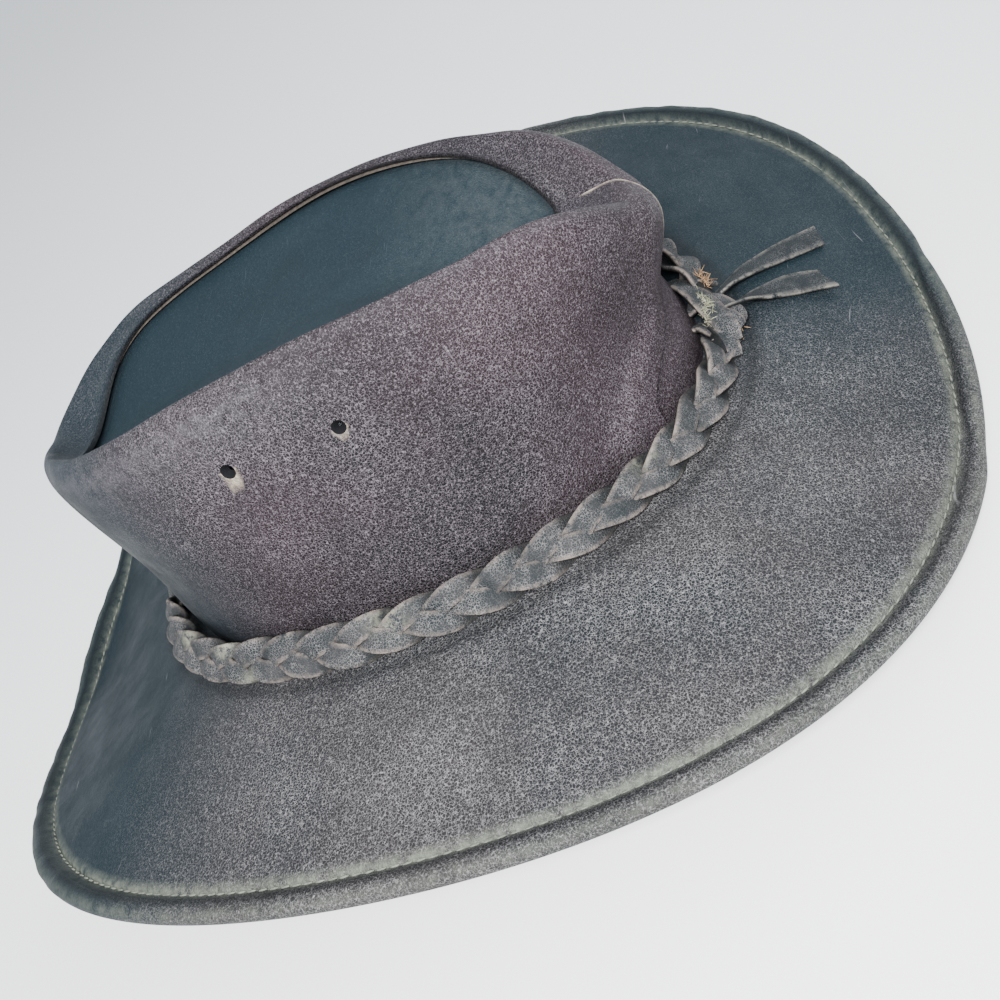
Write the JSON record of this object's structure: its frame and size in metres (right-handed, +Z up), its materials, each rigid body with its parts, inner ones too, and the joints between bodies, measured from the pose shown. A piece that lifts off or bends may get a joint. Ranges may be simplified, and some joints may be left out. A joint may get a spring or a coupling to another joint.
{
  "type": "bush hat",
  "caption": "Worn leather bush hat with a pinched crown, sunken oval top, wide stitched brim that dips front and back, and a braided band with lace tails.",
  "frame": {"origin": "centre of the bounding box, on the surface the hat rests on", "axes": "+X to the wearer's left, +Y to the back of the head, +Z up; the front of the hat points along -Y"},
  "size_m": [0.3144, 0.357, 0.1166],
  "materials": {
    "brim_leather": "matt pebbled leather, worn grey-brown with pale cracks",
    "crown_leather": "matt pebbled leather, purplish brown-grey, rubbed pale along the crest",
    "top_leather": "smoother leather, blue-grey, slightly waxy, with scratches",
    "band_leather": "braided leather straps with pale raw edges",
    "knot_leather": "frayed leather lashing with tan and greenish fibres",
    "lace_leather": "flat cut lace, matt, with pale raw edges"
  },
  "bodies": {
    "root": {"brim": "brim_leather", "crown_wall": "crown_leather", "crown_top": "top_leather", "braided_band": "band_leather", "band_knot": "knot_leather", "lace_tail_upper": "lace_leather", "lace_tail_lower": "lace_leather"}
  },
  "joints": []
}
